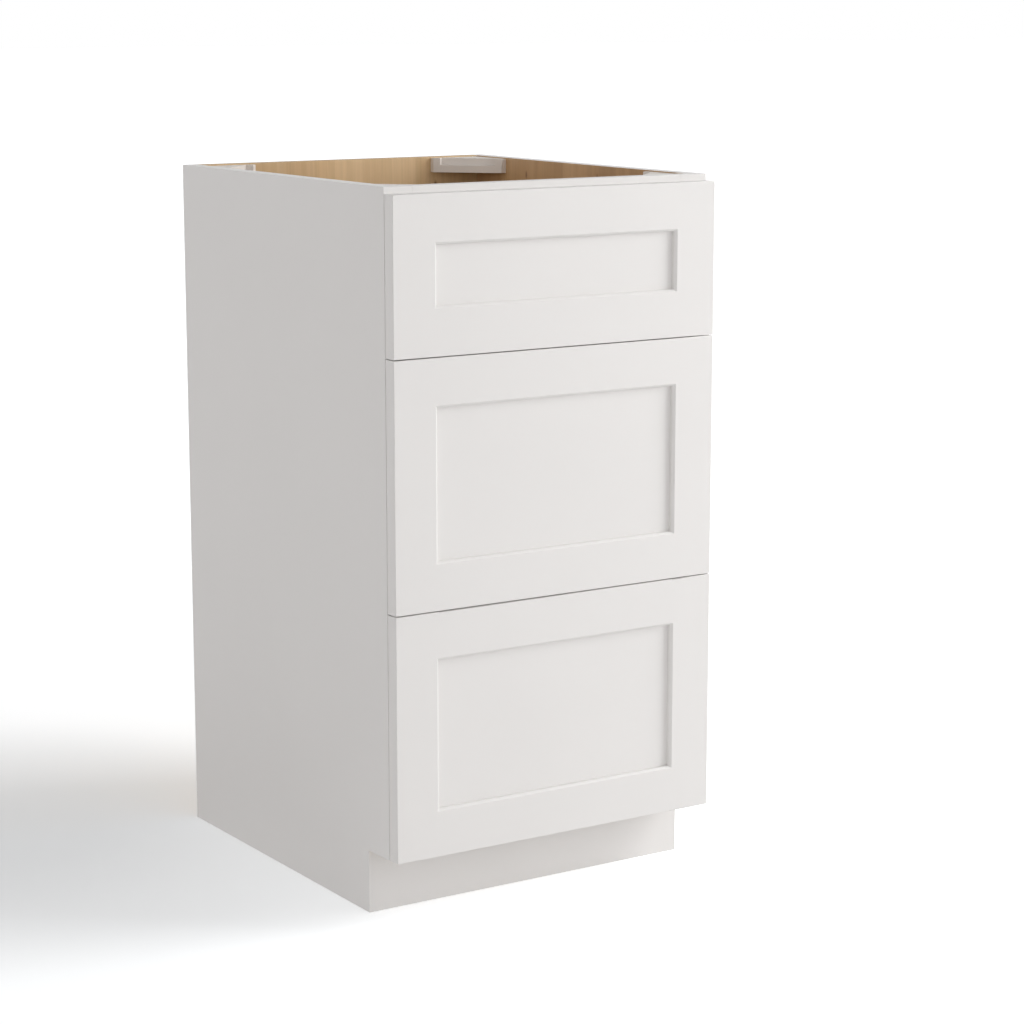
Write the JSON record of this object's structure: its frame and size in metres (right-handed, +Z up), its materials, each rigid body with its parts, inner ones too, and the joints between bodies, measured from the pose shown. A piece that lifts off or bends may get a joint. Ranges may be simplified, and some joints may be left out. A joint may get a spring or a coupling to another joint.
{
  "type": "base cabinet with drawers",
  "caption": "White painted framed-front base cabinet with sliding dovetailed drawers on concealed runners, open top, corner braces and a toe space.",
  "frame": {"origin": "on the floor, at the centre of the cabinet's outline", "axes": "+Z up, the drawers open toward -Y, +X to the right of someone who stands facing the drawers"},
  "size_m": [0.4572, 0.5334, 0.8763],
  "materials": {
    "painted_wood": "satin white paint",
    "maple_plywood": "clear lacquered maple veneer",
    "solid_maple": "clear lacquered solid maple",
    "white_plastic": "matte moulded",
    "grey_plastic": "matte moulded",
    "zinc_steel": "bright zinc plated",
    "clear_rubber": "soft translucent"
  },
  "bodies": {
    "carcass": {"left_side_panel": "painted_wood", "right_side_panel": "painted_wood", "bottom_panel": "maple_plywood", "back_panel": "maple_plywood", "hanging_rail": "maple_plywood", "toe_kick_board": "painted_wood", "face_frame_left_stile": "painted_wood", "face_frame_right_stile": "painted_wood", "face_frame_bottom_rail": "painted_wood", "face_frame_lower_middle_rail": "painted_wood", "face_frame_upper_middle_rail": "painted_wood", "face_frame_top_rail": "painted_wood", "front_left_corner_brace": "white_plastic", "front_right_corner_brace": "white_plastic", "back_right_corner_brace": "white_plastic", "back_left_corner_brace": "white_plastic", "corner_brace_screws": "zinc_steel", "cabinet_runner_rails": "zinc_steel", "runner_rear_sockets": "white_plastic", "runner_screws": "zinc_steel", "drawer_bumpers": "clear_rubber"},
    "top_drawer": {"top_front_left_stile": "painted_wood", "top_front_right_stile": "painted_wood", "top_front_top_rail": "painted_wood", "top_front_bottom_rail": "painted_wood", "top_front_panel": "painted_wood", "top_box_left_side": "solid_maple", "top_box_right_side": "solid_maple", "top_box_front": "solid_maple", "top_box_back": "solid_maple", "top_box_bottom": "maple_plywood", "top_drawer_runner_members": "zinc_steel", "top_drawer_locking_clips": "grey_plastic"},
    "top_runner": {"top_runner_middle_members": "zinc_steel"},
    "middle_drawer": {"middle_front_left_stile": "painted_wood", "middle_front_right_stile": "painted_wood", "middle_front_top_rail": "painted_wood", "middle_front_bottom_rail": "painted_wood", "middle_front_panel": "painted_wood", "middle_box_left_side": "solid_maple", "middle_box_right_side": "solid_maple", "middle_box_front": "solid_maple", "middle_box_back": "solid_maple", "middle_box_bottom": "maple_plywood", "middle_drawer_runner_members": "zinc_steel", "middle_drawer_locking_clips": "grey_plastic"},
    "middle_runner": {"middle_runner_middle_members": "zinc_steel"},
    "bottom_drawer": {"bottom_front_left_stile": "painted_wood", "bottom_front_right_stile": "painted_wood", "bottom_front_top_rail": "painted_wood", "bottom_front_bottom_rail": "painted_wood", "bottom_front_panel": "painted_wood", "bottom_box_left_side": "solid_maple", "bottom_box_right_side": "solid_maple", "bottom_box_front": "solid_maple", "bottom_box_back": "solid_maple", "bottom_box_bottom": "maple_plywood", "bottom_drawer_runner_members": "zinc_steel", "bottom_drawer_locking_clips": "grey_plastic"},
    "bottom_runner": {"bottom_runner_middle_members": "zinc_steel"}
  },
  "joints": [
    {"name": "top_drawer_slide", "type": "slide", "parent": "carcass", "child": "top_drawer", "axis": [0, -1, 0], "range_m": [0, 0.43]},
    {"name": "top_runner_slide", "type": "slide", "parent": "carcass", "child": "top_runner", "axis": [0, -1, 0], "range_m": [0, 0.215]},
    {"name": "middle_drawer_slide", "type": "slide", "parent": "carcass", "child": "middle_drawer", "axis": [0, -1, 0], "range_m": [0, 0.43]},
    {"name": "middle_runner_slide", "type": "slide", "parent": "carcass", "child": "middle_runner", "axis": [0, -1, 0], "range_m": [0, 0.215]},
    {"name": "bottom_drawer_slide", "type": "slide", "parent": "carcass", "child": "bottom_drawer", "axis": [0, -1, 0], "range_m": [0, 0.43]},
    {"name": "bottom_runner_slide", "type": "slide", "parent": "carcass", "child": "bottom_runner", "axis": [0, -1, 0], "range_m": [0, 0.215]}
  ],
  "couplings": [
    {"joint": "top_runner_slide", "follows": "top_drawer_slide", "ratio": 0.5},
    {"joint": "middle_runner_slide", "follows": "middle_drawer_slide", "ratio": 0.5},
    {"joint": "bottom_runner_slide", "follows": "bottom_drawer_slide", "ratio": 0.5}
  ]
}
